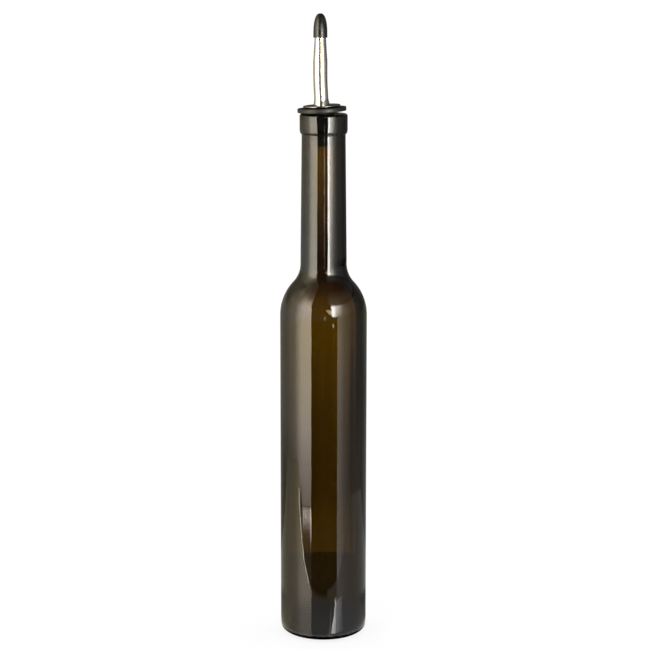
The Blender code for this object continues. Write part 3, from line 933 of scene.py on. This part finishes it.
def table_glow(deg, rho):
    """Painted light and gloss of the table top, by the place on it: bearing and distance from the axis.
    The glow is dark at the heel as painted shade with a bright ring just outside, and the gloss is
    painted darker near the bottle.
    """
    gloss_and_painted_shade = stops(rho, (0.026, 0.10), (0.040, 0.18), (0.080, 0.21), (0.105, 0.31), (0.128, 0.36))
    haze_and_painted_glow = stops(rho, (0.0267, 0.0), (0.0279, 0.06), (0.0296, 1.0), (0.0334, 1.1), (0.0392, 0.60),
                 (0.058, 0.57), (0.080, 0.52), (0.104, 0.40), (0.14, 0.38))
    wide = stops(deg, (-125, -0.32), (-105, -0.16), (-83, 0.08), (-66, 0.0), (58, 0.0),
                 (66, -0.02), (80, -0.08), (100, -0.2), (117, -0.4))
    haze_and_painted_glow += wide * smooth_step(rho, 0.031, 0.04) * (1.0 - smooth_step(rho, 0.080, 0.105))
    green = stops(deg, (-75, 0.90), (-33, 0.93), (-16, 1.0), (30, 1.0), (40, 1.07), (56, 1.07),
                  (68, 1.0))
    blue = stops(deg, (-75, 0.68), (-60, 0.80), (-46, 0.92), (-16, 1.0), (30, 1.0), (40, 1.2),
                 (56, 1.2), (68, 1.0))
    tint = (1.0, 0.99 * green, blue * stops(rho, (0.035, 0.93), (0.06, 0.96), (0.14, 0.90)))
    turn = math.radians(deg)
    x, y = rho * math.sin(turn), -rho * math.cos(turn)
    fade = smooth_step(y, -0.124, -0.101) if x > -0.078 else 1.0
    fade += (1.0 - fade) * smooth_step(x, 0.012, 0.030)
    return [haze_and_painted_glow * t * fade for t in tint], gloss_and_painted_shade * fade


# the mirrored table top: a mirror whose strength is painted darker near the bottle as painted shade,
# plus an emission that paints the table's light
painted_light_table_mat, pn = new_material("table_gloss_and_painted_light")
mirror_side = pn.add("ShaderNodeBsdfGlossy", {"Roughness": 0.0}, {
    "Color": pn.add("ShaderNodeAttribute", attribute_name="gloss_and_painted_shade").outputs["Color"]})
lit_side = pn.add("ShaderNodeEmission", {"Strength": 1.0}, {
    "Color": pn.add("ShaderNodeAttribute", attribute_name="glow").outputs["Color"]})
top_mix = pn.add("ShaderNodeAddShader")
pn.link(mirror_side.outputs[0], top_mix.inputs[0])
pn.link(lit_side.outputs[0], top_mix.inputs[1])
pn.link(top_mix.outputs[0], pn.add("ShaderNodeOutputMaterial").inputs["Surface"])

bm = bmesh.new()
glow = bm.verts.layers.float_color.new("glow")
shiny = bm.verts.layers.float_color.new("gloss_and_painted_shade")
rows = []
for deg in range(-180, 181, 2):
    turn = math.radians(deg)
    dx, dy = math.sin(turn), -math.cos(turn)
    inside, outside = 0.024, 0.9
    for _ in range(40):
        middle = 0.5 * (inside + outside)
        if on_table(middle * dx, middle * dy):
            inside = middle
        else:
            outside = middle
    row = []
    for k in range(61):
        rho = 0.024 * (inside / 0.024) ** (k / 60)
        v = bm.verts.new((rho * dx, rho * dy, -0.00035))
        light, gloss_and_painted_shade = table_glow(deg, rho)
        v[glow] = (*light, 1.0)
        v[shiny] = (gloss_and_painted_shade, gloss_and_painted_shade, gloss_and_painted_shade, 1.0)
        row.append(v)
    rows.append(row)
for a_row, b_row in zip(rows, rows[1:]):
    for k in range(len(a_row) - 1):
        bm.faces.new((a_row[k], b_row[k], b_row[k + 1], a_row[k + 1]))
stage_object("table_shine", bm, painted_light_table_mat, camera=False, diffuse=False, transmission=False,
             shadow=False)


def table_light(name, corners, colour, brightness):
    """Flat glowing mark that paints light on the table (dim ones paint shade): corners and the radiance
    at each.
    """
    bm = bmesh.new()
    glow = bm.verts.layers.float_color.new("glow")
    vs = []
    for (x, y), e in zip(corners, brightness):
        v = bm.verts.new((x, y, -0.0003))
        v[glow] = (colour[0] * e, colour[1] * e, colour[2] * e, 1.0)
        vs.append(v)
    bm.faces.new(vs)
    return stage_object(name, bm, GLOW, camera=False, diffuse=False, transmission=False,
                        shadow=False)


# painted highlight along its rolled front edge on the left, a band of painted shade in front of it, and
# a painted streak and sheen of light that run out to the front
EDGE_FAR, EDGE_NEAR = -0.34, -0.078
table_light("table_edge_painted_highlight", ((EDGE_FAR, front_line(EDGE_FAR) - 0.001),
                           (EDGE_NEAR, -0.1155), (-0.069, -0.1065), (-0.070, -0.1035),
                           (EDGE_NEAR - 0.001, -0.1120), (EDGE_FAR, front_line(EDGE_FAR) + 0.012)),
            (1.0, 0.94, 0.80), (9.0, 6.0, 4.4, 4.4, 6.0, 9.0))
# painted shade: a dim band just in front of the edge
table_light("table_lip_painted_shade", ((EDGE_FAR, front_line(EDGE_FAR) - 0.018),
                          (EDGE_NEAR, -0.120), (EDGE_NEAR, -0.1155),
                          (EDGE_FAR, front_line(EDGE_FAR) - 0.001)),
            (1.0, 0.9, 0.7), (0.7, 0.5, 0.5, 0.7))
# painted light: a streak and sheen of light laid on the table as glowing quads
table_light("table_streak", ((0.0095, -0.0385), (0.0181, -0.0548), (0.0243, -0.0520),
                             (0.0150, -0.0368)),
            (1.0, 0.98, 0.96), (7.2, 9.0, 7.0, 6.4))
table_light("table_streak_far", ((0.0181, -0.0548), (0.0475, -0.0917), (0.0560, -0.0990),
                                 (0.0527, -0.0882), (0.0243, -0.0520)),
            (1.0, 0.98, 0.96), (9.0, 7.0, 2.0, 5.0, 7.0))
table_light("table_sheen", ((0.0150, -0.0368), (0.0243, -0.0520), (0.0527, -0.0882),
                            (0.0820, -0.0790), (0.0340, -0.0340)),
            (1.0, 0.99, 0.99), (2.6, 3.0, 2.8, 0.9, 0.4))

# world: white behind the object, dim in reflections, a lit backdrop through the glass
world = bpy.data.worlds.new("studio")
scene.world = world
wn = Nodes(world)
ray = wn.add("ShaderNodeLightPath")
direction = wn.add("ShaderNodeTexCoord").outputs["Generated"]
split = wn.add("ShaderNodeSeparateXYZ", links={"Vector": direction})
up = split.outputs["Z"]
aside = wn.maths("ABSOLUTE", split.outputs["X"])
level = wn.add("ShaderNodeMapRange", {"From Min": -0.5, "From Max": 0.5}, {"Value": up})
behind = wn.ramp(level.outputs["Result"], [
    (0.0, (0.40, 0.40, 0.40)), (0.185, (0.64, 0.64, 0.64)), (0.214, (0.61, 0.61, 0.61)),
    (0.226, (0.44, 0.44, 0.44)), (0.2425, (0.455, 0.455, 0.455)), (0.263, (0.55, 0.55, 0.55)),
    (0.283, (0.70, 0.70, 0.70)), (0.304, (0.86, 0.86, 0.86)), (0.325, (0.96, 0.96, 0.96)),
    (0.39, (0.93, 0.93, 0.93)),
    (0.60, (1.0, 1.0, 1.0)), (1.0, (0.5, 0.5, 0.5)),
])
# the lit backdrop is a panel behind the bottle; its like stands at either side
panel = wn.ramp(aside, [
    (0.085, 2.30), (0.15, 1.35), (0.22, 0.75), (0.55, 0.75), (0.80, 2.0), (1.0, 2.3)])
# soft upright folds in the middle of the backdrop cloth
across = wn.add("ShaderNodeMapRange", {"From Min": -0.02, "From Max": 0.03},
                {"Value": split.outputs["X"]})
folds = wn.ramp(across.outputs["Result"], [
    (0.0, 0.625), (0.26, 0.60), (0.34, 0.68), (0.41, 0.57), (0.48, 0.64), (0.55, 0.84),
    (0.62, 0.65), (0.72, 0.60), (1.0, 0.625)], "EASE")
strength = wn.maths("MULTIPLY", panel.outputs["Color"],
                    wn.maths("MULTIPLY", folds.outputs["Color"], 1.6))
backdrop = wn.add("ShaderNodeBackground",
                  links={"Color": behind.outputs["Color"], "Strength": strength})
gloom = wn.ramp(level.outputs["Result"], [
    (0.0, (0.05, 0.06, 0.05)), (0.18, (0.05, 0.06, 0.05)), (0.22, (0.005, 0.006, 0.004)),
    (0.33, (0.005, 0.006, 0.004)), (0.39, (0.12, 0.12, 0.11)), (0.55, (0.13, 0.12, 0.10)),
    (0.75, (0.08, 0.075, 0.06)), (1.0, (0.08, 0.075, 0.06))])
dim = wn.add("ShaderNodeBackground", {"Strength": 1.0}, {"Color": gloom.outputs["Color"]})
white = wn.add("ShaderNodeBackground", {"Color": (1.0, 1.0, 1.0, 1.0), "Strength": 1.02})
soft = wn.add("ShaderNodeBackground", {"Color": (1.0, 1.0, 1.0, 1.0), "Strength": 1.15})


def switch(choice, no, yes):
    node = wn.add("ShaderNodeMixShader")
    wn.link(choice, node.inputs[0])
    wn.link(no, node.inputs[1])
    wn.link(yes, node.inputs[2])
    return node.outputs[0]


mixed = switch(ray.outputs["Is Diffuse Ray"], dim.outputs[0], soft.outputs[0])
mixed = switch(ray.outputs["Is Transmission Ray"], mixed, backdrop.outputs[0])
mixed = switch(ray.outputs["Is Camera Ray"], mixed, white.outputs[0])
wn.link(mixed, wn.add("ShaderNodeOutputWorld").inputs["Surface"])

scene.view_settings.view_transform = "Standard"
scene.view_settings.look = "None"
scene.view_settings.exposure = 0.0
scene.view_settings.gamma = 1.0

# ------------------------------------------------------------------ camera
CAMERA_ROLL = 0.045
camera_data = bpy.data.cameras.new("camera")
camera_data.sensor_fit = "HORIZONTAL"
camera_data.sensor_width = 36.0
camera_data.lens = 1890.0 / 650.0 * 36.0
camera_data.clip_start = 0.05
camera_data.clip_end = 50.0
camera = bpy.data.objects.new("camera", camera_data)
scene.collection.objects.link(camera)
camera.location = (0.0009, -1.139, 0.413)
camera.rotation_euler = (
    Matrix.Rotation(math.radians(90.0 - 10.84), 3, "X")
    @ Matrix.Rotation(math.radians(CAMERA_ROLL), 3, "Z")
).to_euler()
scene.camera = camera

bpy.context.view_layer.update()
